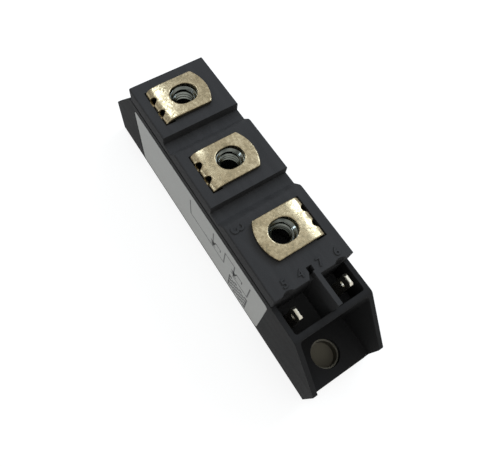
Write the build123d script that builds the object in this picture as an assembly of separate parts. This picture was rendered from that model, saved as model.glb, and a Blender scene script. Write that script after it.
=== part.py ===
from build123d import *
import os

os.makedirs("parts", exist_ok=True)

# Sizes of the whole module, in millimetres

half_length = 46.0
half_width = 10.0
overall_height = 30.0

# Base plate

base_thickness = 3.0
base_corner = 1.0
base_edge = 0.2
base_hole_r = 3.2
screw_x = half_length - 6.0

# Moulded case

wall = 1.15
end_wall = 1.4
bay_length = 11.3
skirt_z = 0.2
deck_z = overall_height - 1.2
rim_z = deck_z - 4.4
tub_half_length = half_length - bay_length
flank_end = half_length - 0.2
flank_start = tub_half_length - 0.3
flank_corner_z = rim_z - 13.0
flank_round = 1.2
bay_corner = 0.8
cavity_corner = 0.6
cavity_half_x = tub_half_length - end_wall
cavity_half_y = half_width - wall
lug_floor_z = base_thickness + 1.5
lug_hole_r = base_hole_r + 0.4

# Label

label_x0 = -tub_half_length + 2.2
label_x1 = tub_half_length - 9.1
label_z0 = skirt_z + 0.7
label_z1 = rim_z - 2.5
label_thickness = 0.15
label_corner = 1.0

# Clearances, and how far a cut runs past a face

cover_clearance = 0.05
nut_clearance = 0.06
tab_clearance = 0.1
leg_clearance = 0.2
cut_past = 1.0

# Cover

box_length = 8.6
cover_far_x = -tub_half_length + 1.5
cover_near_x = tub_half_length - box_length
cover_half_y = half_width - 0.1
cover_edge = 0.4
joint_height = 0.35
joint_depth = 0.4
inner_x = cavity_half_x - cover_clearance
inner_y = cavity_half_y - cover_clearance
lip_height = 2.0
lip_z = rim_z - lip_height
lip_wall = 1.2
box_wall = 1.4
box_floor_z = rim_z - 8.0
floor_under = box_floor_z - box_wall
divider_y0 = 0.28
divider_y1 = divider_y0 + 1.08
notch_r = 1.95
notch_depth = 0.55
pocket_reach = 2.45
pocket_x = cover_near_x - pocket_reach
pocket_y = -0.55
pocket_size = 1.3
pocket_depth = 3.0
wedge_depth = 2.2
wedge_overlap = 0.2

# Places of the power terminals, and the two grooves between them

far_margin = 8.2
near_margin = 11.1
terminal_pitch = (cover_near_x - near_margin - cover_far_x - far_margin) / 2
terminal_x = [cover_far_x + far_margin + k * terminal_pitch for k in range(3)]
terminal_side = [-1, -1, 1]
groove_x = [x + 0.395 * terminal_pitch for x in terminal_x[:2]]
groove_depth = 2.35
groove_floor = 0.145 * terminal_pitch
groove_width = 0.2475 * terminal_pitch
shoulder_r = 0.06 * terminal_pitch

# Power terminals

plate_thickness = 1.0
plate_under = overall_height - plate_thickness
plate_half_width = terminal_pitch / 4
arc_apex = half_width - 4.0
arc_corner = arc_apex - 1.5
plate_chamfer = 0.25
bend_face = half_width - 2.7
bend_outer = 2.3
bend_y = bend_face - bend_outer
leg_y = bend_face - plate_thickness
slot_long = 6.5
slot_short = 5.5
relief_r = 1.0
relief_angle = 58.0
relief_x = 0.39 * plate_half_width
leg_half_width = 0.6 * plate_half_width
leg_narrow_z = rim_z - 0.8
foot_length = 4.0

# Captive nuts and the sleeves below them

nut_flats = 8.0
nut_height = 4.0
nut_bottom = deck_z - nut_height
nut_hole_r = 2.5
nut_chamfer = 0.6
nut_sink = 0.5
boss_wall = 1.5
boss_bottom = rim_z - 4.9
boss_floor = 1.0
bore_r = nut_hole_r + 0.5

# Control tabs

tab_from_back = 3.75
tab_from_side = 2.4
tab_x = cover_near_x + tab_from_back
tab_reach = cavity_half_y - tab_from_side
tab_y = [-tab_reach, tab_reach]
tab_half_width = 1.4
tab_half_thickness = 0.4
tab_tip_z = rim_z + 2.0
tab_hole_z = tab_tip_z - 3.2
tab_hole_r = 0.6
tab_chamfer = 0.6
tab_edge = 0.2
pin_half_width = 0.8

# Fillings under the cover

potting_height = 3.0
potting_top = floor_under - 0.6
gel_top = potting_top - potting_height
pin_bottom = gel_top - 1.0

# Circuit on the base

substrate_x0 = 0.6
substrate_x1 = cavity_half_x - 1.3
substrate_half_y = cavity_half_y - 0.65
substrate_top = base_thickness + 0.6
pad_margin = 1.0
pad_half_y = substrate_half_y - 0.7
pad_top = substrate_top + 0.3
pad_split = terminal_x[1] - 0.315 * terminal_pitch
pad_gap = 0.5
chip_half = 0.225 * terminal_pitch
chip_top = pad_top + 0.4
chip_x = [terminal_x[2] + 0.45 * terminal_pitch, terminal_x[0] + 0.4 * terminal_pitch]
disc_r = 0.15 * terminal_pitch
disc_top = chip_top + 0.8
strap_thickness = 0.8
strap_half_width = 2.0
strap_foot = 4.0
strap_overlap = 0.8 * disc_r
strap_end_1 = -substrate_x1 + 2 * pad_margin
strap_end_2 = terminal_x[1] + 0.4
strap_foot_top = disc_top + strap_thickness
strap_high = strap_foot_top + 0.6 * (gel_top - strap_foot_top)
strap_low = strap_foot_top + 0.2 * (pin_bottom - strap_foot_top)
lead_half = 0.35
lead_z = (substrate_top + gel_top) / 2
lead_y = leg_y - 1.9
gate_reach = 0.1375 * terminal_pitch


def block(x0, x1, y0, y1, z0, z1):
    """A box between two corners."""
    middle = Pos((x0 + x1) / 2, (y0 + y1) / 2, (z0 + z1) / 2)
    return middle * Box(x1 - x0, y1 - y0, z1 - z0)


def prism_xz(points, y0, y1):
    """A closed outline in the side view, carried across from y0 to y1."""
    face = make_face(Polyline(*[(x, y0, z) for x, z in points], close=True))
    return extrude(face, amount=y1 - y0, dir=(0, 1, 0))


def upright(x, y, radius, z0, z1):
    """A round bar along Z."""
    return Pos(x, y, (z0 + z1) / 2) * Cylinder(radius, z1 - z0)


def hexagon(x, flats, z0, z1):
    """A six-sided bar along Z, measured across its flats."""
    outline = RegularPolygon(radius=flats / 2, side_count=6, major_radius=False)
    return Pos(x, 0, z0) * extrude(outline, amount=z1 - z0)


def at(edges, axis, value):
    """The edges that lie wholly at one value of an axis."""
    return edges.filter_by_position(axis, value - 0.01, value + 0.01)


def rounded_room(x0, x1, half_y, z0, z1):
    """The inside of the case with its rounded upright corners."""
    room = block(x0, x1, -half_y, half_y, z0, z1)
    return fillet(room.edges().filter_by(Axis.Z), cavity_corner)


# Base plate with its two screw holes

base = block(-half_length, half_length, -cavity_half_y, cavity_half_y, 0, base_thickness)
base = fillet(base.edges().filter_by(Axis.Z), base_corner)
base = chamfer(at(base.edges(), Axis.Z, 0), base_edge)
for x in (-screw_x, screw_x):
    base -= upright(x, 0, base_hole_r, -cut_past, base_thickness + cut_past)

# Moulded case: a tub without a floor, and a screw bay with two flanks at each end

side_outline = [
    (-flank_end, skirt_z),
    (flank_end, skirt_z),
    (flank_end, flank_corner_z),
    (flank_start, rim_z),
    (-flank_start, rim_z),
    (-flank_end, flank_corner_z),
]
case = prism_xz(side_outline, -half_width, half_width)
upper = case.edges().filter_by(Axis.Y).filter_by(lambda edge: edge.center().Z > base_thickness)
case = fillet(upper, flank_round)
case -= rounded_room(-cavity_half_x, cavity_half_x, cavity_half_y, -cut_past, rim_z + cut_past)
case -= block(-half_length, half_length, -cavity_half_y, cavity_half_y, -cut_past, base_thickness)
for end in (-1, 1):
    near_x, far_x = end * tub_half_length, end * (half_length + cut_past)
    bay = block(
        min(near_x, far_x), max(near_x, far_x), -cavity_half_y, cavity_half_y,
        lug_floor_z, rim_z + cut_past)
    case -= fillet(at(bay.edges(), Axis.X, near_x).filter_by(Axis.Z), bay_corner)
    case -= upright(end * screw_x, 0, lug_hole_r, 0, lug_floor_z + cut_past)

# Label let into the long side of the case

label_middle = ((label_x0 + label_x1) / 2, -half_width, (label_z0 + label_z1) / 2)
label_plane = Plane(origin=label_middle, x_dir=(1, 0, 0), z_dir=(0, -1, 0))
label_face = label_plane * RectangleRounded(label_x1 - label_x0, label_z1 - label_z0, label_corner)
label = extrude(label_face, amount=label_thickness, dir=(0, 1, 0))
case -= label

# Power terminals: a flat top plate, a bend, and a leg with a foot on its copper pad


def terminal(x, side):
    """A terminal at x whose leg goes down on the given side (-1 or 1). Two relief holes are
    punched through its bend."""
    w, top, bend_z = plate_half_width, overall_height, overall_height - bend_outer
    arc = ThreePointArc((-w, -arc_corner), (0, -arc_apex), (w, -arc_corner))
    rest = Polyline((w, -arc_corner), (w, bend_y), (-w, bend_y), (-w, -arc_corner))
    plate = extrude(make_face([arc, *rest.edges()]), amount=plate_thickness)
    ring = Cylinder(bend_outer, 2 * w) - Cylinder(bend_outer - plate_thickness, 2 * w)
    ring = Pos(0, bend_y, bend_z) * Rot(0, 90, 0) * ring
    body = Pos(0, 0, plate_under) * plate
    body += ring & block(-w, w, bend_y, bend_face, bend_z, top)
    body += block(-w, w, leg_y, bend_face, leg_narrow_z, bend_z)
    body += block(-leg_half_width, leg_half_width, leg_y, bend_face, pad_top, leg_narrow_z)
    body += block(
        -leg_half_width, leg_half_width, bend_face - foot_length, leg_y,
        pad_top, pad_top + plate_thickness)
    hole = extrude(SlotOverall(slot_long, slot_short, rotation=90), amount=plate_thickness)
    body -= Pos(0, 0, plate_under) * hole
    rims = at(body.edges(), Axis.Z, top).filter_by(lambda edge: edge.center().Y < bend_y - 0.1)
    body = chamfer(rims, plate_chamfer)
    relief = Pos(0, 0, bend_outer) * Cylinder(relief_r, 2 * bend_outer)
    for place in (-relief_x, relief_x):
        body -= Pos(place, bend_y, bend_z) * Rot(-relief_angle, 0, 0) * relief
    if side < 0:
        body = Rot(0, 0, 180) * body
    return Pos(x, 0, 0) * body


terminals = [terminal(x, side) for x, side in zip(terminal_x, terminal_side)]

# Captive nuts

nuts = []
for x in terminal_x:
    turned = Cylinder(0.6 * nut_flats, nut_height)
    turned = chamfer(at(turned.edges(), Axis.Z, nut_height / 2), nut_chamfer)
    nut = hexagon(x, nut_flats, nut_bottom, deck_z)
    nut = nut & (Pos(x, 0, nut_bottom + nut_height / 2) * turned)
    nut -= upright(x, 0, nut_hole_r, nut_bottom - cut_past, deck_z + cut_past)
    mouth = at(nut.edges(), Axis.Z, deck_z).filter_by(lambda edge: edge.is_closed)
    nuts.append(chamfer(mouth, nut_sink))

# Cover: the grooved deck with its rounded edges and the joint line above the case

deck_outline = [(cover_far_x, rim_z), (cover_far_x, deck_z)]
for x in groove_x:
    low = deck_z - groove_depth
    deck_outline += [(x, deck_z), (x, low), (x + groove_floor, low), (x + groove_width, deck_z)]
deck_outline += [(cover_near_x, deck_z), (cover_near_x, rim_z)]
cover = prism_xz(deck_outline, -cover_half_y, cover_half_y)
for x in groove_x:
    across = at(cover.edges(), Axis.Z, deck_z).filter_by(Axis.Y)
    cover = fillet(at(across, Axis.X, x + groove_width), shoulder_r)
cover = fillet(at(cover.edges(), Axis.Z, deck_z).filter_by(Axis.X), cover_edge)
for side in (-1, 1):
    ys = sorted((side * (cover_half_y - joint_depth), side * half_width))
    cover -= block(cover_far_x, cover_near_x, ys[0], ys[1], rim_z, rim_z + joint_height)

# Cover: the locating lip, and the tab box's back wall, floor and divider

inside = rounded_room(cover_far_x, inner_x, inner_y, floor_under, rim_z)
lip = block(cover_far_x, cover_near_x, -inner_y, inner_y, lip_z, rim_z)
lip -= block(
    cover_far_x + lip_wall, cover_near_x, -inner_y + lip_wall, inner_y - lip_wall, lip_z, rim_z)
box_back = block(cover_near_x - box_wall, cover_near_x, -inner_y, inner_y, floor_under, rim_z)
box_floor = block(cover_near_x, inner_x, -inner_y, inner_y, floor_under, box_floor_z)
cover += (lip + box_back + box_floor) & inside
cover += block(cover_near_x - box_wall, inner_x, divider_y0, divider_y1, floor_under, deck_z)

# Cover: sleeves for the nuts and screws, slots for the legs and the tabs

for x, side in zip(terminal_x, terminal_side):
    room = nut_flats + 2 * nut_clearance
    cover += hexagon(x, room + 2 * boss_wall, boss_bottom, rim_z)
    cover -= hexagon(x, room, nut_bottom, deck_z + cut_past)
    cover -= upright(x, 0, bore_r, boss_bottom + boss_floor, nut_bottom)
    ys = sorted((side * bend_y, side * (bend_face + leg_clearance)))
    reach = plate_half_width + leg_clearance
    cover -= block(x - reach, x + reach, ys[0], ys[1], lip_z, deck_z + cut_past)

for y in tab_y:
    notch_x = cover_near_x - notch_depth + notch_r
    cover -= upright(notch_x, y, notch_r, rim_z, deck_z + cut_past)
    reach_x = tab_half_width + tab_clearance
    reach_y = tab_half_thickness + tab_clearance
    cover -= block(tab_x - reach_x, tab_x + reach_x, y - reach_y, y + reach_y, floor_under, box_floor_z)

# Cover: the small pocket in the deck and the wedge-shaped cut from it to the tab box

pocket_far_x, pocket_far_y = pocket_x + pocket_size, pocket_y + pocket_size
cover -= block(
    pocket_x, pocket_far_x, pocket_y, pocket_far_y, deck_z - pocket_depth, deck_z + cut_past)
wedge_x = pocket_far_x - wedge_overlap
wedge = make_face(Polyline(
    (wedge_x, pocket_y), (cover_near_x, -divider_y1), (cover_near_x, divider_y0),
    (wedge_x, divider_y0), close=True))
cover -= Pos(0, 0, deck_z - wedge_depth) * extrude(wedge, amount=wedge_depth + cut_past)

# Control tabs: a blade above the box floor and a narrow pin below it

tabs = []
for y in tab_y:
    low_y, high_y = y - tab_half_thickness, y + tab_half_thickness
    blade = block(
        tab_x - tab_half_width, tab_x + tab_half_width, low_y, high_y, floor_under, tab_tip_z)
    blade = chamfer(at(blade.edges(), Axis.Z, tab_tip_z).filter_by(Axis.Y), tab_chamfer)
    blade = chamfer(at(blade.edges(), Axis.Z, tab_tip_z).filter_by(Axis.X), tab_edge)
    across = Rot(90, 0, 0) * Cylinder(tab_hole_r, 4 * tab_half_thickness)
    blade -= Pos(tab_x, y, tab_hole_z) * across
    pin = block(
        tab_x - pin_half_width, tab_x + pin_half_width, low_y, high_y, pin_bottom, floor_under)
    tabs.append(blade + pin)

# Substrates, copper pads, chips and discs

substrates = [
    block(x0, x1, -substrate_half_y, substrate_half_y, base_thickness, substrate_top)
    for x0, x1 in ((substrate_x0, substrate_x1), (-substrate_x1, -substrate_x0))
]
pad_ends = [
    (substrate_x0 + pad_margin, substrate_x1 - pad_margin),
    (-substrate_x1 + pad_margin, pad_split - pad_gap),
    (pad_split + pad_gap, -substrate_x0 - pad_margin),
]
pads = [block(a, b, -pad_half_y, pad_half_y, substrate_top, pad_top) for a, b in pad_ends]
chips = [
    block(x - chip_half, x + chip_half, -chip_half, chip_half, pad_top, chip_top) for x in chip_x
]
discs = [upright(x, 0, disc_r, chip_top, disc_top) for x in chip_x]

# Cathode straps and gate leads


def strap(start, stop, high):
    """A strap that lies on a disc at start, rises, and lands on a pad at stop."""
    step = 1 if stop > start else -1
    t = strap_thickness
    tail = start - step * strap_overlap
    rise_a, rise_b = start + step * disc_r, stop - step * strap_foot
    points = [
        (tail, disc_top), (rise_a, disc_top), (rise_a, high), (rise_b, high),
        (rise_b, pad_top), (stop, pad_top), (stop, pad_top + t), (rise_b + step * t, pad_top + t),
        (rise_b + step * t, high + t), (rise_a - step * t, high + t),
        (rise_a - step * t, disc_top + t), (tail, disc_top + t),
    ]
    return prism_xz(points, -strap_half_width, strap_half_width)


def lead(points):
    """A square lead that runs along the axes from point to point."""
    body = None
    for a, b in zip(points[:-1], points[1:]):
        low = [min(m, n) - lead_half for m, n in zip(a, b)]
        high = [max(m, n) + lead_half for m, n in zip(a, b)]
        run = block(low[0], high[0], low[1], high[1], low[2], high[2])
        body = run if body is None else body + run
    return body & block(-half_length, half_length, -half_width, half_width, chip_top, pin_bottom)


straps = [strap(chip_x[0], strap_end_1, strap_high), strap(chip_x[1], strap_end_2, strap_low)]
gate_x = [x + gate_reach for x in chip_x]
leads = [
    lead([
        (tab_x, tab_y[0], pin_bottom), (tab_x, tab_y[0], lead_z), (gate_x[0], tab_y[0], lead_z),
        (gate_x[0], -gate_reach, lead_z), (gate_x[0], -gate_reach, chip_top)]),
    lead([
        (tab_x, tab_y[1], pin_bottom), (tab_x, tab_y[1], lead_z), (tab_x, lead_y, lead_z),
        (gate_x[1], lead_y, lead_z), (gate_x[1], gate_reach, lead_z), (gate_x[1], gate_reach, chip_top)]),
]

# Soft filling over the chips and the hard layer over it

gel = rounded_room(-cavity_half_x, cavity_half_x, cavity_half_y, base_thickness, gel_top)
potting = rounded_room(-cavity_half_x, cavity_half_x, cavity_half_y, gel_top, potting_top)
for piece in terminals + tabs + substrates + pads + chips + discs + straps + leads:
    gel -= piece
for piece in terminals + tabs:
    potting -= piece

# Files

pieces = {
    "base_plate": base,
    "case": case,
    "cover": cover,
    "label": label,
    "silicone_gel": gel,
    "potting_layer": potting,
    "control_tab_gate_1": tabs[0],
    "control_tab_gate_2": tabs[1],
}
groups = {
    "power_terminal": terminals,
    "terminal_nut": nuts,
    "ceramic_substrate": substrates,
    "copper_pad": pads,
    "thyristor_chip": chips,
    "cathode_disc": discs,
    "cathode_strap": straps,
    "gate_lead": leads,
}
for group, shapes in groups.items():
    pieces.update({f"{group}_{number}": shape for number, shape in enumerate(shapes, 1)})
for name, shape in pieces.items():
    export_step(shape, f"parts/{name}.step")
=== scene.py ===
import bmesh
import bpy
import numpy as np
from mathutils import Matrix, Vector


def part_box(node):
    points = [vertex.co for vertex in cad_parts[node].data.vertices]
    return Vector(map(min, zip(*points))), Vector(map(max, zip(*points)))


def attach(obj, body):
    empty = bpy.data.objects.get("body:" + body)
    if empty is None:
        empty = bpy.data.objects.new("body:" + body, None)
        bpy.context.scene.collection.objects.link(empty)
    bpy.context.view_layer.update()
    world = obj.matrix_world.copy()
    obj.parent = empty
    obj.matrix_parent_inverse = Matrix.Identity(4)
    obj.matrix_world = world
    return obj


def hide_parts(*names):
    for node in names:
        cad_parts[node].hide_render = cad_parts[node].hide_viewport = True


MM = 0.001

# Camera, as solved from the photograph: lengths in millimetres and the picture's own axes

CAMERA_POSITION = (35.07, -30.87, 107.47)
PICTURE_RIGHT = (0.538338, 0.840900, 0.055495)
PICTURE_UP = (-0.790315, 0.480898, 0.379657)
PICTURE_OUT = (0.292566, -0.248242, 0.923461)
CAMERA_SENSOR = 36
CAMERA_LENS = 30.36
CAMERA_SHIFT = (0.040, 0.0053)
CAMERA_NEAREST = 5.0

# Meshes: millimetres within which points are one, and degrees past which an edge stays sharp

SAME_POINT = 0.0005
CREASE_ANGLE = 50

# Nut threads: M5 coarse, in millimetres, with the ridge's reach in pitches and fade in radians

THREAD_MAJOR_R = 2.5
THREAD_MINOR_R = 2.07
THREAD_PITCH = 0.8
THREAD_GAP = 0.01
THREAD_REACH = 0.49
THREAD_FADE = 1.2
THREAD_THINNEST = 0.02
THREAD_COLUMNS = 11
THREAD_STEPS = 40
NUT_SINK = 0.5

# Power terminals, strips bent from sheet: what their nodes' boxes don't give, in millimetres

STRIP_THICKNESS = 1.0
STRIP_STEP = 0.5
STRIP_EDGE = 0.28
STRIP_EDGE_STEPS = 2
HOLE_LONG, HOLE_SHORT = 6.5, 5.5
TIP_RISE = 1.5
RELIEF_WIDE, RELIEF_LONG = 1.8, 3.0
RELIEF_X, RELIEF_S = 1.95, 1.76
RELIEF_MARGIN = 0.6, 1.6
WIDE_LEG = 4.5
NARROW_SHARE = 0.6
FOOT_R, FOOT_LENGTH = 1.2, 3.0

# Power terminals' bend, in millimetres and degrees: a slight fall, then a leg that leans in

EASE_LENGTH, EASE_ANGLE = 2.6, 9.0
BEND_R, LEAN_ANGLE = 1.9, 92.0

# Power terminals' mesh: the profile's range, a ring's rows as shares, and the legs' rows

PROFILE_START, PROFILE_END, PROFILE_POINTS = -14, 40, 10801
RING_SHARES = (0, 0.45, 0.72, 1)
WIDE_LEG_ROWS, NARROW_LEG_ROWS = 5, 60
COLUMN_MARGIN = 0.01
SHARED_DIGITS = 3
NEARLY_ZERO = 0.001

# Numbers moulded on the deck: text, x, y, height in millimetres and turn in degrees

NUMBER_RISE = 0.24
NUMBER_SUNK = 0.02
NUMBER_EDGE = 0.04
NUMBER_SWELL = 0.03
TYPE_SIZE_SHARE = 1.38
DECK_NUMBERS = (
    ("3", 9.7, -7.7, 3.0, 0), ("5", 24.2, -6.1, 1.9, 90), ("4", 24.2, -2.2, 1.9, 90),
    ("7", 24.2, 2.6, 1.9, 90), ("6", 24.2, 6.9, 1.9, 90))

# Print on the label: a circuit diagram and a block, in millimetres along x and up z

INK_HEIGHT = 0.015
INK_SUNK = 0.01
INK_LINE = 0.4
CIRCUIT_START_X = -5.8
CIRCUIT_BASE_Z = 11.3
CIRCUIT_BRIDGE_Z = 18.0
CIRCUIT_TOP_Z = 18.6
MIDDLE_LEAD_TOP_Z = 19.2
BRIDGE_REACH = 5.0
END_REACH = 6.0
LEAD_LEAN = 0.1
THYRISTOR_X = (4.6, 13.7)
THYRISTOR_Z = 13.4
SYMBOL_HALF = 1.1
SYMBOL_UP, SYMBOL_DOWN = 1.2, 0.9
SYMBOL_POINT = 0.1
GATE_PATH = ((0.3, -0.6), (1.1, 2.0), (3.2, 2.0), (3.2, 0.7))
BLOCK_CORNER = (12.4, 1.9)
BLOCK_CELLS = 7
BLOCK_CELL = 1.08
BLOCK_FILL = 0.94

# Surface detail: sizes and depths in millimetres, and a pattern's stretch as scales

PLASTIC_GRAIN = 0.22
PLASTIC_GRAIN_DEPTH = 0.03
PLASTIC_EDGE = 0.2
FLOW_STREAK = 1.6
FLOW_STRETCH = (0.15, 1.0, 1.0)
PLATING_CRYSTAL = 0.36
CRYSTAL_TILT = 0.035
PLATING_CLOUD = 2.6
PLATING_EDGE = 0.22
SHEET_WAVE = 4.0
SHEET_WAVE_HEIGHT = 0.08
ROLLING_LINE = 0.12
ROLLING_LINE_DEPTH = 0.01
ROLLED_ALONG_X = (0.05, 1.0, 1.0)
METAL_EDGE = 0.12
MOTTLE_DEPTH = 0.01
LABEL_TOOTH = 0.3
ALUMINA_MOTTLE = 0.4
SILICON_MOTTLE = 0.8
GEL_MOTTLE = 2.0
EPOXY_MOTTLE = 1.5

# Floor and light: millimetres, the heights between which the backdrop fades, and strengths

FLOOR_HALF = 3000.0
FLOOR_GLOW = 0.8
ROOM_STOPS = ((0.0, "#6C6D6E"), (0.9, "#FAFBFC"))
ROOM_STRENGTH = 0.95
BACKDROP_TOP = 0.2, 0.4

# Lamps: name, position and size in millimetres, and power in watts

LAMPS = (
    ("window", (-60, 284, 292), 190, 0.7),
    ("far_lamp", (-205, 10, 270), 90, 0.15),
    ("side_lamp", (-90, -255, 130), 40, 0.04))
LAMP_AIM = (0, 0, 15)


def linear(hex_colour):
    """An sRGB hex colour as linear red, green, blue and alpha."""
    srgb = np.array([int(hex_colour[k:k + 2], 16) / 255 for k in (1, 3, 5)])
    low, high = srgb / 12.92, ((srgb + 0.055) / 1.055) ** 2.4
    return (*np.where(srgb <= 0.04045, low, high), 1.0)


def add(tree, kind, inputs=None, links=None, stops=(), **settings):
    """Adds a node to a tree. inputs are its socket values, links its sockets' sources, and
    stops a colour ramp's positions with their hex colours."""
    node = tree.nodes.new(kind)
    for name, value in settings.items():
        setattr(node, name, value)
    for name, value in (inputs or {}).items():
        node.inputs[name].default_value = value
    for name, source in (links or {}).items():
        tree.links.new(source, node.inputs[name])
    if stops:
        elements = node.color_ramp.elements
        elements.remove(elements[1])
        elements[0].position = stops[0][0]
        elements[0].color = linear(stops[0][1])
        for position, colour in stops[1:]:
            elements.new(position).color = linear(colour)
    return node


def new_material(name):
    """An empty node material: returns it, its tree, and object coordinates in metres."""
    material = bpy.data.materials.new(name)
    material.use_nodes = True
    tree = material.node_tree
    tree.nodes.clear()
    place = add(tree, "ShaderNodeTexCoord").outputs["Object"]
    return material, tree, place


def per_metre(size_mm):
    """The scale that gives a pattern a feature of this size."""
    return 1 / (size_mm * MM)


def moulded_polyester(name, dark, light, roughness):
    """Black glass-filled polyester, injection moulded against an eroded steel face: an even
    satin skin with fine grain, faint flow streaks along the part, and softened edges."""
    material, tree, place = new_material(name)
    grain = add(tree, "ShaderNodeTexNoise", {"Scale": per_metre(PLASTIC_GRAIN), "Detail": 3.0},
                {"Vector": place}).outputs["Fac"]
    along = add(tree, "ShaderNodeMapping", {"Scale": FLOW_STRETCH}, {"Vector": place})
    flow = add(tree, "ShaderNodeTexNoise", {"Scale": per_metre(FLOW_STREAK), "Detail": 5.0},
               {"Vector": along.outputs["Vector"]}).outputs["Fac"]
    mixed = add(tree, "ShaderNodeMix", {"Factor": 0.5}, {"A": grain, "B": flow}).outputs["Result"]
    colour = add(tree, "ShaderNodeValToRGB", links={"Fac": mixed},
                 stops=((0.3, dark), (0.7, light))).outputs["Color"]
    gloss = add(tree, "ShaderNodeMapRange",
                {"From Min": 0.35, "From Max": 0.65,
                 "To Min": roughness - 0.08, "To Max": roughness + 0.08},
                {"Value": mixed}).outputs["Result"]
    edge = add(tree, "ShaderNodeBevel", {"Radius": PLASTIC_EDGE * MM}, samples=4).outputs["Normal"]
    bump = add(tree, "ShaderNodeBump", {"Strength": 0.3, "Distance": PLASTIC_GRAIN_DEPTH * MM},
               {"Height": grain, "Normal": edge}).outputs["Normal"]
    shader = add(tree, "ShaderNodeBsdfPrincipled", {"IOR": 1.5, "Specular IOR Level": 0.15},
                 {"Base Color": colour, "Roughness": gloss, "Normal": bump})
    add(tree, "ShaderNodeOutputMaterial", links={"Surface": shader.outputs[0]})
    return material


def crystal_plating(name, dull, middle, bright, roughness):
    """Warm nickel plating on a stamped copper strip: a soft mirror broken up by the plating's
    crystals, drawn a little coarser than life so that they show. Each crystal has a shade and
    a small tilt of its own, under broad cloudy patches, and the bent sheet is slightly wavy."""
    material, tree, place = new_material(name)
    warp = add(tree, "ShaderNodeTexNoise", {"Scale": per_metre(PLATING_CRYSTAL), "Detail": 2.0},
               {"Vector": place}).outputs["Color"]
    shift = add(tree, "ShaderNodeVectorMath", {1: (PLATING_CRYSTAL * MM,) * 3}, {0: warp},
                operation="MULTIPLY")
    moved = add(tree, "ShaderNodeVectorMath", links={0: place, 1: shift.outputs[0]}, operation="ADD")
    cell = add(tree, "ShaderNodeTexVoronoi", {"Scale": per_metre(PLATING_CRYSTAL)},
               {"Vector": moved.outputs[0]}).outputs["Color"]
    crystal = add(tree, "ShaderNodeSeparateColor", links={"Color": cell}).outputs["Red"]
    cloud = add(tree, "ShaderNodeTexNoise", {"Scale": per_metre(PLATING_CLOUD), "Detail": 3.0},
                {"Vector": place}).outputs["Fac"]
    mixed = add(tree, "ShaderNodeMix", {"Factor": 0.68}, {"A": crystal, "B": cloud}).outputs["Result"]
    colour = add(tree, "ShaderNodeValToRGB", links={"Fac": mixed},
                 stops=((0.25, dull), (0.5, middle), (0.75, bright))).outputs["Color"]
    gloss = add(tree, "ShaderNodeMapRange",
                {"To Min": roughness + 0.06, "To Max": roughness - 0.06},
                {"Value": crystal}).outputs["Result"]
    edge = add(tree, "ShaderNodeBevel", {"Radius": PLATING_EDGE * MM}, samples=6).outputs["Normal"]
    wave = add(tree, "ShaderNodeTexNoise", {"Scale": per_metre(SHEET_WAVE), "Detail": 0.0},
               {"Vector": place}).outputs["Fac"]
    wavy = add(tree, "ShaderNodeBump", {"Strength": 1.0, "Distance": SHEET_WAVE_HEIGHT * MM},
               {"Height": wave, "Normal": edge}).outputs["Normal"]
    lean = add(tree, "ShaderNodeVectorMath", {1: (0.5, 0.5, 0.5)}, {0: cell}, operation="SUBTRACT")
    tilt = add(tree, "ShaderNodeVectorMath", {"Scale": CRYSTAL_TILT}, {0: lean.outputs[0]},
               operation="SCALE")
    tilted = add(tree, "ShaderNodeVectorMath", links={0: wavy, 1: tilt.outputs[0]}, operation="ADD")
    facet = add(tree, "ShaderNodeVectorMath", links={0: tilted.outputs[0]}, operation="NORMALIZE")
    shader = add(tree, "ShaderNodeBsdfPrincipled", {"Metallic": 1.0},
                 {"Base Color": colour, "Roughness": gloss, "Normal": facet.outputs[0]})
    add(tree, "ShaderNodeOutputMaterial", links={"Surface": shader.outputs[0]})
    return material


def rolled_metal(name, dull, bright, roughness, lines=(1.0, 1.0, 1.0)):
    """Rolled or turned metal, plated or bare: a mirror made soft by fine lines that run along
    the work, with slightly cloudy patches."""
    material, tree, place = new_material(name)
    cloud = add(tree, "ShaderNodeTexNoise", {"Scale": per_metre(PLATING_CLOUD), "Detail": 4.0},
                {"Vector": place}).outputs["Fac"]
    stretched = add(tree, "ShaderNodeMapping", {"Scale": lines}, {"Vector": place})
    rolled = add(tree, "ShaderNodeTexNoise", {"Scale": per_metre(ROLLING_LINE), "Detail": 2.0},
                 {"Vector": stretched.outputs["Vector"]}).outputs["Fac"]
    colour = add(tree, "ShaderNodeValToRGB", links={"Fac": cloud},
                 stops=((0.35, dull), (0.65, bright))).outputs["Color"]
    gloss = add(tree, "ShaderNodeMapRange",
                {"From Min": 0.3, "From Max": 0.7,
                 "To Min": roughness - 0.05, "To Max": roughness + 0.1},
                {"Value": rolled}).outputs["Result"]
    edge = add(tree, "ShaderNodeBevel", {"Radius": METAL_EDGE * MM}, samples=4).outputs["Normal"]
    bump = add(tree, "ShaderNodeBump", {"Strength": 0.15, "Distance": ROLLING_LINE_DEPTH * MM},
               {"Height": rolled, "Normal": edge}).outputs["Normal"]
    shader = add(tree, "ShaderNodeBsdfPrincipled", {"Metallic": 1.0},
                 {"Base Color": colour, "Roughness": gloss, "Normal": bump})
    add(tree, "ShaderNodeOutputMaterial", links={"Surface": shader.outputs[0]})
    return material


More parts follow.
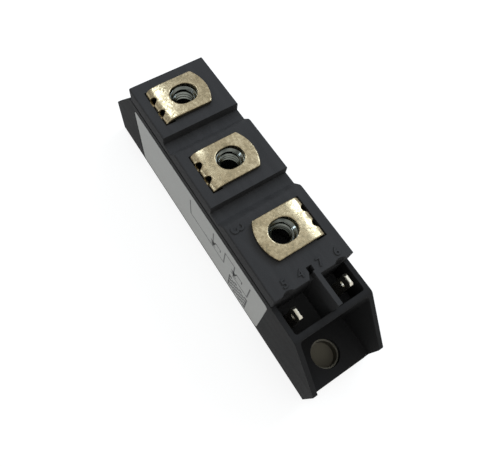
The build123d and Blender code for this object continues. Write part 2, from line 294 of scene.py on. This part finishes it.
def mottled_solid(name, dark, light, roughness, size_mm):
    """A mottled solid, for film, ink, ceramic, silicon, gel and resin: two near shades in
    patches of one size, which also roughen it slightly."""
    material, tree, place = new_material(name)
    patches = add(tree, "ShaderNodeTexNoise", {"Scale": per_metre(size_mm), "Detail": 4.0},
                  {"Vector": place}).outputs["Fac"]
    colour = add(tree, "ShaderNodeValToRGB", links={"Fac": patches},
                 stops=((0.3, dark), (0.7, light))).outputs["Color"]
    bump = add(tree, "ShaderNodeBump", {"Strength": 0.1, "Distance": MOTTLE_DEPTH * MM},
               {"Height": patches}).outputs["Normal"]
    shader = add(tree, "ShaderNodeBsdfPrincipled", {"Roughness": roughness},
                 {"Base Color": colour, "Normal": bump})
    add(tree, "ShaderNodeOutputMaterial", links={"Surface": shader.outputs[0]})
    return material


def wear(node, material):
    """Gives a CAD node its finish."""
    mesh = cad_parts[node].data
    mesh.materials.clear()
    mesh.materials.append(material)


def node_box(node):
    """A CAD node's lowest and highest corners in millimetres."""
    return [np.array(corner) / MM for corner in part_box(node)]


def grid_quads(index):
    """The quads between neighbouring points of a grid, from the grid of the points' numbers."""
    quads = np.stack([index[:-1, :-1], index[:-1, 1:], index[1:, 1:], index[1:, :-1]], axis=-1)
    return quads.reshape(-1, 4)


def closed_strips(grids):
    """Joins grids of points (rows, columns, 3), each a ring of columns carried along its rows,
    into one list of points and one of faces. Each strip has a flat cap at both ends."""
    points, faces, start = [], [], 0
    for grid in grids:
        rows, columns = grid.shape[:2]
        ring = start + np.arange(rows * columns).reshape(rows, columns)
        faces += grid_quads(np.hstack([ring, ring[:, :1]])).tolist()
        faces += [ring[0, ::-1].tolist(), ring[-1].tolist()]
        points.append(grid.reshape(-1, 3))
        start += rows * columns
    return np.vstack(points), faces


def new_piece(name, mesh, material):
    """Links a mesh as a piece of the module that rides on its root, its faces outwards."""
    shell = bmesh.new()
    shell.from_mesh(mesh)
    bmesh.ops.remove_doubles(shell, verts=shell.verts, dist=SAME_POINT * MM)
    bmesh.ops.recalc_face_normals(shell, faces=shell.faces)
    shell.to_mesh(mesh)
    shell.free()
    mesh.materials.clear()
    mesh.materials.append(material)
    piece = bpy.data.objects.new(name, mesh)
    bpy.context.scene.collection.objects.link(piece)
    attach(piece, "root")
    return piece


def strips_piece(name, grids, material):
    """A piece made of closed strips, from grids of points in millimetres."""
    points, faces = closed_strips(grids)
    mesh = bpy.data.meshes.new(name)
    mesh.from_pydata((points * MM).tolist(), [], faces)
    return new_piece(name, mesh, material)


def shade_round(mesh):
    """Shades a mesh smooth, but for the edges that turn by more than the crease angle."""
    mesh.shade_smooth()
    mesh.set_sharp_from_angle(angle=np.radians(CREASE_ANGLE))


def bent_profile(face, foot_z, top):
    """A terminal strip's outer face in the side view. The angle that it has turned down by is
    straight lines over the length s, so its bends are arcs, and y and z are the sums of that
    angle's cosine and sine. Returns the arrays s, y, z and angle, and s at the foot's bend."""
    s = np.linspace(PROFILE_START, PROFILE_END, PROFILE_POINTS)
    bend = BEND_R * np.radians(LEAN_ANGLE - EASE_ANGLE)
    angle = np.radians(np.interp(
        s, (-EASE_LENGTH, 0, bend, bend + WIDE_LEG, bend + WIDE_LEG + STRIP_STEP),
        (0, EASE_ANGLE, LEAN_ANGLE, LEAN_ANGLE, 90)))
    z = top - np.cumsum(np.sin(angle)) * (s[1] - s[0])
    foot_s = np.interp(-(foot_z + FOOT_R), -z, s)
    angle += np.interp(s, (foot_s, foot_s + FOOT_R * np.pi / 2), (0, np.pi / 2))
    y = np.cumsum(np.cos(angle)) * (s[1] - s[0])
    z = top - np.cumsum(np.sin(angle)) * (s[1] - s[0])
    return s, y + face - np.interp(foot_s, s, y), z, angle, foot_s


def run(start, stop, count):
    """Evenly spaced points on a line, with its start and without its end."""
    start, stop = np.array(start, float), np.array(stop, float)
    return start + (stop - start) * np.arange(count)[:, None] / count


def ring_patch(middle, hole, outline):
    """A flat patch between a hole and its outline: points on straight lines from the hole's
    edge to the outline. hole gives the edge's points for directions seen from the middle."""
    way = outline - np.array(middle)
    inner = np.array(middle) + hole(np.arctan2(way[:, 1], way[:, 0]))
    patch = inner + np.array(RING_SHARES)[:, None, None] * (outline - inner)
    return np.concatenate([patch, patch[:, :1]], axis=1)


def oval_hole(way):
    """The edge of an oval hole, long across x: a circle's edge moved apart by half the extra
    length. Each point is where a line from the middle meets its straight side or its end."""
    radius, half = HOLE_SHORT / 2, (HOLE_LONG - HOLE_SHORT) / 2
    across, along = np.abs(np.cos(way)), np.abs(np.sin(way))
    side = radius / np.maximum(across, NEARLY_ZERO)
    end = half * along + np.sqrt(np.maximum(radius ** 2 - (half * across) ** 2, 0))
    reach = np.where(side * along <= half, side, end)
    return np.stack([reach * np.cos(way), reach * np.sin(way)], axis=1)


def relief_hole(way):
    """The edge of a relief hole in the bend, an ellipse that is long down the leg."""
    return np.stack([RELIEF_WIDE / 2 * np.cos(way), RELIEF_LONG / 2 * np.sin(way)], axis=1)


def strip_pattern(half, s_at_tip, s_at_hole, s_end):
    """The strip's flat pattern as patches of (x, s) points that share their borders: a ring
    round the oval hole, one round each relief hole, and the wide and narrow leg. The tip is an
    arc of radius (half ** 2 + rise ** 2) / (2 * rise), for half its width and its rise."""
    near, far = -RELIEF_MARGIN[0], BEND_R * np.radians(LEAN_ANGLE - EASE_ANGLE) + RELIEF_MARGIN[1]
    corner = s_at_tip + TIP_RISE
    columns = round(2 * half / STRIP_STEP)
    radius = (half ** 2 + TIP_RISE ** 2) / (2 * TIP_RISE)
    turn = run([-np.arcsin(half / radius)], [np.arcsin(half / radius)], columns)[:, 0]
    tip = np.stack([radius * np.sin(turn), s_at_tip + radius * (1 - np.cos(turn))], axis=1)
    sides = round((near - corner) / (2 * STRIP_STEP))
    plate = np.vstack([
        run((half, near), (-half, near), columns), run((-half, near), (-half, corner), sides), tip,
        run((half, corner), (half, near), sides)])
    patches = [ring_patch((0, s_at_hole), oval_hole, plate)]
    rows = round((far - near) / STRIP_STEP)
    for side in (-1, 1):
        half_bend = np.vstack([
            run((0, near), (side * half, near), columns // 2),
            run((side * half, near), (side * half, far), rows),
            run((side * half, far), (0, far), columns // 2), run((0, far), (0, near), rows)])
        patches.append(ring_patch((side * RELIEF_X, RELIEF_S), relief_hole, half_bend))
    narrow_s = far - RELIEF_MARGIN[1] + WIDE_LEG
    x = np.linspace(-half, half, columns + 1)
    narrow_x = x[np.abs(x) <= NARROW_SHARE * half + COLUMN_MARGIN]
    legs = ((x, np.linspace(far, narrow_s, WIDE_LEG_ROWS)),
            (narrow_x, np.linspace(narrow_s, s_end, NARROW_LEG_ROWS)))
    for across, lengths in legs:
        patches.append(np.stack(np.meshgrid(across, lengths), axis=-1))
    return patches


def flat_sheet(patches):
    """Joins patches of (x, s) points into one sheet: its points, of which shared ones are one,
    and its quads, all turned the same way by the sign of their diagonals' cross product."""
    quads, start = [], 0
    for patch in patches:
        rows, columns = patch.shape[:2]
        quads.append(grid_quads(start + np.arange(rows * columns).reshape(rows, columns)))
        start += rows * columns
    points = np.vstack([patch.reshape(-1, 2) for patch in patches])
    _, first, shared = np.unique(
        np.round(points, SHARED_DIGITS), axis=0, return_index=True, return_inverse=True)
    points, quads = points[first], shared.reshape(-1)[np.vstack(quads)]
    corner = points[quads]
    (one_x, one_s), (other_x, other_s) = (corner[:, 2:] - corner[:, :2]).transpose(1, 2, 0)
    across = one_x * other_s - one_s * other_x
    return points, np.where(across[:, None] > 0, quads, quads[:, ::-1])


def edge_walls(quads, count):
    """The walls between a sheet and its copy, whose points are numbered higher by count: one
    on each edge that belongs to a single quad."""
    edges = np.stack([quads, np.roll(quads, -1, axis=1)], axis=-1).reshape(-1, 2)
    _, kind, uses = np.unique(np.sort(edges, axis=1), axis=0, return_inverse=True, return_counts=True)
    free = edges[uses[kind.reshape(-1)] == 1]
    return np.stack([free[:, 1], free[:, 0], free[:, 0] + count, free[:, 1] + count], axis=1)


def terminal_strip(number, material):
    """A power terminal as it is made: a flat pattern, punched, then bent along its profile.
    A point (x, s) of the pattern at a depth below the outer face lies at the profile's place
    for s, moved in by that depth along the normal (sin angle, cos angle). The outer and the
    inner face are joined by walls along the pattern's free edges, which a bevel rounds."""
    low, high = node_box(f"power_terminal_{number}")
    side = 1 if high[1] > -low[1] else -1
    face, tip = max(high[1], -low[1]), min(high[1], -low[1])
    s, y, z, angle, foot_s = bent_profile(face, low[2], high[2])
    flat = s < -EASE_LENGTH
    s_at_tip, s_at_hole = np.interp((-tip, 0), y[flat], s[flat])
    s_end = foot_s + FOOT_R * np.pi / 2 + FOOT_LENGTH - FOOT_R
    points, quads = flat_sheet(strip_pattern((high[0] - low[0]) / 2, s_at_tip, s_at_hole, s_end))
    count = len(points)
    x, length = points.T
    turned = np.interp(length, s, angle)
    layers = [
        np.stack([
            (low[0] + high[0]) / 2 + side * x,
            side * (np.interp(length, s, y) - depth * np.sin(turned)),
            np.interp(length, s, z) - depth * np.cos(turned)], axis=1)
        for depth in (0, STRIP_THICKNESS)]
    mesh = bpy.data.meshes.new(f"terminal_strip_{number}")
    faces = np.vstack([quads, quads[:, ::-1] + count, edge_walls(quads, count)]).tolist()
    mesh.from_pydata((np.vstack(layers) * MM).tolist(), [], faces)
    piece = new_piece(f"terminal_strip_{number}", mesh, material)
    shade_round(mesh)
    edge = piece.modifiers.new("rounded_edges", "BEVEL")
    edge.width = STRIP_EDGE * MM
    edge.segments = STRIP_EDGE_STEPS
    edge.limit_method = "ANGLE"
    edge.angle_limit = np.radians(CREASE_ANGLE)
    edge.harden_normals = True
    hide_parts(f"power_terminal_{number}")


def thread(number, material):
    """A nut's thread: a ridge that climbs one pitch a turn, z = pitch * angle / 360, through one
    turn less than the nut has pitches, because the ridge itself is a pitch high. Its section is
    one wave of a cosine, from the major radius in to the minor, and it fades at its ends."""
    low, high = node_box(f"terminal_nut_{number}")
    middle_x = (low[0] + high[0]) / 2
    turns = (high[2] - low[2] - NUT_SINK) / THREAD_PITCH - 1
    angle = np.linspace(0, 2 * np.pi * turns, int(THREAD_STEPS * turns) + 1)[:, None]
    root = THREAD_MAJOR_R - THREAD_GAP
    wave = np.linspace(-THREAD_REACH, THREAD_REACH, THREAD_COLUMNS)
    depth = (0.5 + 0.5 * np.cos(2 * np.pi * wave)) * (root - THREAD_MINOR_R)
    fade = np.clip(np.minimum(angle, angle[-1] - angle) / THREAD_FADE, THREAD_THINNEST, 1)
    r = root - depth * fade
    z = low[2] + THREAD_PITCH * (0.5 + angle / (2 * np.pi) + wave)
    points = np.stack([middle_x + r * np.cos(angle), r * np.sin(angle), z], axis=-1)
    ridge = strips_piece(f"nut_thread_{number}", [points], material)
    shade_round(ridge.data)


def moulded_number(text, x, y, height, turn, material):
    """A raised number: a plain figure extruded both ways from just under the deck's face and
    swollen a little, with a small bevel on its edges. turn is about the vertical."""
    curve = bpy.data.curves.new(f"deck_number_{text}", "FONT")
    curve.body = text
    curve.size = height * TYPE_SIZE_SHARE * MM
    curve.extrude = NUMBER_RISE * MM
    curve.bevel_depth = NUMBER_EDGE * MM
    curve.offset = NUMBER_SWELL * MM
    curve.align_x = "CENTER"
    curve.align_y = "CENTER"
    holder = bpy.data.objects.new("holder", curve)
    mesh = bpy.data.meshes.new_from_object(holder)
    bpy.data.objects.remove(holder)
    deck_z = node_box("cover")[1][2]
    place = Matrix.Translation(Vector((x, y, deck_z - NUMBER_SUNK)) * MM)
    mesh.transform(place @ Matrix.Rotation(np.radians(turn), 4, "Z"))
    mesh.name = f"deck_number_{text}"
    new_piece(f"deck_number_{text}", mesh, material)


def ink_ribbon(path, width):
    """A printed line on the label: a flat rectangle carried along a path of (x, z) points. At
    each inner point its two edges meet on the mitre, (n1 + n2) / (1 + n1 . n2), where n1 and
    n2 are the normals of the steps beside it. width is one value or one for each point."""
    path = np.asarray(path, float)
    step = np.diff(path, axis=0)
    step /= np.linalg.norm(step, axis=1, keepdims=True)
    normal = np.stack([-step[:, 1], step[:, 0]], axis=1)
    before, after = np.vstack([normal[:1], normal]), np.vstack([normal, normal[-1:]])
    mitre = (before + after) / (1 + (before * after).sum(axis=1, keepdims=True))
    side = mitre * np.broadcast_to(width, len(path))[:, None] / 2
    face_y = node_box("label")[0][1]
    corners = ((side, -INK_HEIGHT), (-side, -INK_HEIGHT), (-side, INK_SUNK), (side, INK_SUNK))
    rows = [np.stack([(path + s)[:, 0], np.full(len(path), face_y + out), (path + s)[:, 1]], axis=-1)
            for s, out in corners]
    return np.stack(rows, axis=1)


def circuit_diagram(material):
    """The printed circuit: two thyristors in one line with their gates, and the leads that go
    up to the terminals. A thyristor is a filled triangle on a bar, with a lead to its gate."""
    base, top, lean = CIRCUIT_BASE_Z, CIRCUIT_TOP_Z, LEAD_LEAN
    first, second = THYRISTOR_X
    bridge_x, end_x = first + BRIDGE_REACH, second + END_REACH
    lines = (
        ((CIRCUIT_START_X + lean, top), (CIRCUIT_START_X, base), (bridge_x - lean, base),
         (bridge_x + lean, CIRCUIT_BRIDGE_Z), (second - lean, CIRCUIT_BRIDGE_Z), (second, base),
         (end_x - lean, base), (end_x + lean, top)),
        ((first, MIDDLE_LEAD_TOP_Z), (first, base)),
    )
    grids = [ink_ribbon(line, INK_LINE) for line in lines]
    bar_z = THYRISTOR_Z - SYMBOL_DOWN
    for x in THYRISTOR_X:
        triangle = ((x, THYRISTOR_Z + SYMBOL_UP), (x, bar_z))
        grids.append(ink_ribbon(triangle, (2 * SYMBOL_HALF, SYMBOL_POINT)))
        grids.append(ink_ribbon(((x - SYMBOL_HALF, bar_z), (x + SYMBOL_HALF, bar_z)), INK_LINE))
        grids.append(ink_ribbon(np.array(GATE_PATH) + (x, THYRISTOR_Z), INK_LINE))
    strips_piece("label_circuit", grids, material)


def square_block(material):
    """A dense printed block of plain squares: every second cell of a chequered board, with a
    line up both sides. It is a regular pattern and holds no code."""
    x0, z0 = BLOCK_CORNER
    size = BLOCK_CELLS * BLOCK_CELL
    columns, rows = np.nonzero(np.indices((BLOCK_CELLS, BLOCK_CELLS)).sum(axis=0) % 2 == 0)
    grids = []
    for column, row in zip(columns.tolist(), rows.tolist()):
        middle, z = x0 + (column + 0.5) * BLOCK_CELL, z0 + row * BLOCK_CELL
        grids.append(ink_ribbon([(middle, z), (middle, z + BLOCK_CELL)], BLOCK_FILL * BLOCK_CELL))
    for x in (x0, x0 + size):
        grids.append(ink_ribbon([(x, z0), (x, z0 + size)], INK_LINE))
    strips_piece("label_block", grids, material)


def seen_directly(tree):
    """A socket that is 1 for a ray from the camera, off a gloss or through a clear piece, and
    0 for a ray that lights the object: the greatest of the three."""
    ray = add(tree, "ShaderNodeLightPath")
    straight = add(tree, "ShaderNodeMath", operation="MAXIMUM",
                   links={0: ray.outputs["Is Camera Ray"], 1: ray.outputs["Is Glossy Ray"]})
    any_of_them = add(tree, "ShaderNodeMath", operation="MAXIMUM",
                      links={0: straight.outputs[0], 1: ray.outputs["Is Transmission Ray"]})
    return any_of_them.outputs[0]


def paper_floor():
    """White paper that glows for rays that see it directly, so that it is white where nothing
    shades it and keeps the module's shadow. Inside the base plate's outline it is a dark patch
    without glow, painted shade under the module, which the screw holes show."""
    material, tree, place = new_material("white_paper_floor")
    half_x, half_y = node_box("base_plate")[1][:2]
    offset = add(tree, "ShaderNodeVectorMath", {1: (1 / (half_x * MM), 1 / (half_y * MM), 0)},
                 {0: place}, operation="MULTIPLY")
    size = add(tree, "ShaderNodeVectorMath", links={0: offset.outputs[0]}, operation="ABSOLUTE")
    parts = add(tree, "ShaderNodeSeparateXYZ", links={0: size.outputs[0]})
    furthest = add(tree, "ShaderNodeMath", operation="MAXIMUM",
                   links={0: parts.outputs["X"], 1: parts.outputs["Y"]})
    outside = add(tree, "ShaderNodeMath", {1: 1.0}, {0: furthest.outputs[0]}, operation="GREATER_THAN")
    paper = add(tree, "ShaderNodeBsdfDiffuse", {"Color": linear("#8E8E8C")})
    # Painted shade: a dark patch on the floor under the module, where there is only its shade, seen
    # through the screw holes
    painted_shade_patch = add(tree, "ShaderNodeBsdfDiffuse", {"Color": linear("#736F62")})
    glow = add(tree, "ShaderNodeEmission", {"Color": linear("#FFFFFF"), "Strength": FLOOR_GLOW})
    lit = add(tree, "ShaderNodeAddShader", links={0: paper.outputs[0], 1: glow.outputs[0]})
    around = add(tree, "ShaderNodeMixShader", links={
        0: seen_directly(tree), 1: paper.outputs[0], 2: lit.outputs[0]})
    both = add(tree, "ShaderNodeMixShader", links={
        0: outside.outputs[0], 1: painted_shade_patch.outputs[0], 2: around.outputs[0]})
    add(tree, "ShaderNodeOutputMaterial", links={"Surface": both.outputs[0]})
    return material


def studio_sky():
    """A pale room, brighter overhead, with a white backdrop low down for rays that see it
    directly."""
    world = bpy.data.worlds.new("studio")
    world.use_nodes = True
    tree = world.node_tree
    tree.nodes.clear()
    way = add(tree, "ShaderNodeTexCoord").outputs["Generated"]
    height = add(tree, "ShaderNodeSeparateXYZ", links={0: way}).outputs["Z"]
    shade = add(tree, "ShaderNodeValToRGB", links={"Fac": height}, stops=ROOM_STOPS).outputs["Color"]
    room = add(tree, "ShaderNodeBackground", {"Strength": ROOM_STRENGTH}, {"Color": shade})
    backdrop = add(tree, "ShaderNodeBackground", {"Color": linear("#FFFFFF"), "Strength": 1.0})
    low = add(tree, "ShaderNodeMapRange",
              {"From Min": BACKDROP_TOP[0], "From Max": BACKDROP_TOP[1], "To Min": 1.0, "To Max": 0.0},
              {"Value": height}).outputs["Result"]
    white = add(tree, "ShaderNodeMath", links={0: seen_directly(tree), 1: low}, operation="MULTIPLY")
    sky = add(tree, "ShaderNodeMixShader", links={
        0: white.outputs[0], 1: room.outputs[0], 2: backdrop.outputs[0]})
    add(tree, "ShaderNodeOutputWorld", links={"Surface": sky.outputs[0]})
    return world


def lamp(name, position, size, power):
    """A square soft lamp of cool daylight, aimed at the middle of the module."""
    data = bpy.data.lights.new(name, "AREA")
    data.color = linear("#DCEBFF")[:3]
    data.shape = "SQUARE"
    data.size = size * MM
    data.energy = power
    light = bpy.data.objects.new(name, data)
    aim = Vector(LAMP_AIM) - Vector(position)
    light.location = Vector(position) * MM
    light.rotation_euler = aim.to_track_quat("-Z", "Y").to_euler()
    bpy.context.scene.collection.objects.link(light)


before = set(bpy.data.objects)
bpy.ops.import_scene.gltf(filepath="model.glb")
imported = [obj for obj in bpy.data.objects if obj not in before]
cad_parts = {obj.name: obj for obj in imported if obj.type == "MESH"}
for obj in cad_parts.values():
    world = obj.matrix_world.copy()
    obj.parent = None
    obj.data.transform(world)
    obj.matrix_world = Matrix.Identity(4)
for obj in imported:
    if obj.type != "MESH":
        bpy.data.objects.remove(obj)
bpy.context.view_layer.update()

# Finishes: tabs brighter than the terminals, nuts darker and sharper, and a dull rolled base

# The case is a darker tone than the cover: partly its own moulding, partly painted shade for its side
# faces, which face away from the light
case_plastic_with_painted_shade = moulded_polyester("black_polyester_case", "#191919", "#252525", 0.8)
cover_plastic = moulded_polyester("black_polyester_cover", "#2A2A2A", "#393939", 0.78)
terminal_plating = crystal_plating("warm_nickel_strip", "#80765D", "#A19375", "#C6BA9A", 0.27)
tab_plating = rolled_metal("tin_plated_blade", "#C4BFAE", "#E4DFD0", 0.25)
# The nuts' dark tone is partly zinc's own grey and partly painted shade for their place down in the
# terminals' holes
nut_plating_with_painted_shade = rolled_metal("zinc_plated_nut", "#4C504B", "#8E928A", 0.12)
base_plating = rolled_metal("nickel_plated_base", "#716E64", "#858276", 0.6, ROLLED_ALONG_X)
label_film = mottled_solid("grey_label_film", "#B9B9B4", "#C3C3BD", 0.55, LABEL_TOOTH)
label_ink = mottled_solid("black_label_ink", "#1F1F1E", "#2C2C2A", 0.5, LABEL_TOOTH)
alumina = mottled_solid("white_alumina", "#E6E4DF", "#F0EEEA", 0.45, ALUMINA_MOTTLE)
copper = rolled_metal("bare_copper", "#B87653", "#C98A66", 0.35)
silicon = mottled_solid("passivated_silicon", "#3E444E", "#4B525C", 0.25, SILICON_MOTTLE)
molybdenum = rolled_metal("ground_molybdenum", "#8A8C90", "#9C9EA2", 0.4)
gel = mottled_solid("silicone_gel", "#C4C9C4", "#CED2CE", 0.2, GEL_MOTTLE)
epoxy = mottled_solid("casting_epoxy", "#1C1D1E", "#252627", 0.3, EPOXY_MOTTLE)

NODE_FINISH = {
    "base_plate": base_plating, "case": case_plastic_with_painted_shade, "cover": cover_plastic, "label": label_film,
    "silicone_gel": gel, "potting_layer": epoxy,
}
GROUP_FINISH = {
    "power_terminal": terminal_plating, "terminal_nut": nut_plating_with_painted_shade, "control_tab": tab_plating,
    "ceramic_substrate": alumina, "copper_pad": copper, "thyristor_chip": silicon,
    "cathode_disc": molybdenum, "cathode_strap": copper, "gate_lead": copper,
}
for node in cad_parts:
    group = next((name for name in GROUP_FINISH if node.startswith(name)), None)
    wear(node, NODE_FINISH.get(node) or GROUP_FINISH[group])

# Terminal strips, threads in the nuts, numbers on the deck and print on the label

for number in (1, 2, 3):
    terminal_strip(number, terminal_plating)
    thread(number, nut_plating_with_painted_shade)
for text, x, y, height, turn in DECK_NUMBERS:
    moulded_number(text, x, y, height, turn, cover_plastic)
circuit_diagram(label_ink)
square_block(label_ink)

# Floor: white paper, with a patch of painted shade under the module

reach = FLOOR_HALF * MM
floor_mesh = bpy.data.meshes.new("floor")
floor_mesh.from_pydata(
    [(-reach, -reach, 0), (reach, -reach, 0), (reach, reach, 0), (-reach, reach, 0)], [],
    [(0, 1, 2, 3)])
floor = bpy.data.objects.new("floor", floor_mesh)
bpy.context.scene.collection.objects.link(floor)
floor_mesh.materials.append(paper_floor())

# Light: the sky, a soft window, a lamp above the far end and a low one on the label's side

bpy.context.scene.world = studio_sky()
for name, position, size, power in LAMPS:
    lamp(name, position, size, power)

# Camera at the photograph's angle

camera_data = bpy.data.cameras.new("photo_camera")
camera_data.sensor_width = CAMERA_SENSOR
camera_data.lens = CAMERA_LENS
camera_data.shift_x, camera_data.shift_y = CAMERA_SHIFT
camera_data.clip_start = CAMERA_NEAREST * MM
camera = bpy.data.objects.new("photo_camera", camera_data)
bpy.context.scene.collection.objects.link(camera)
turned = Matrix((PICTURE_RIGHT, PICTURE_UP, PICTURE_OUT)).transposed()
camera.matrix_world = Matrix.Translation(Vector(CAMERA_POSITION) * MM) @ turned.to_4x4()
bpy.context.scene.camera = camera
bpy.context.scene.view_settings.view_transform = "Standard"
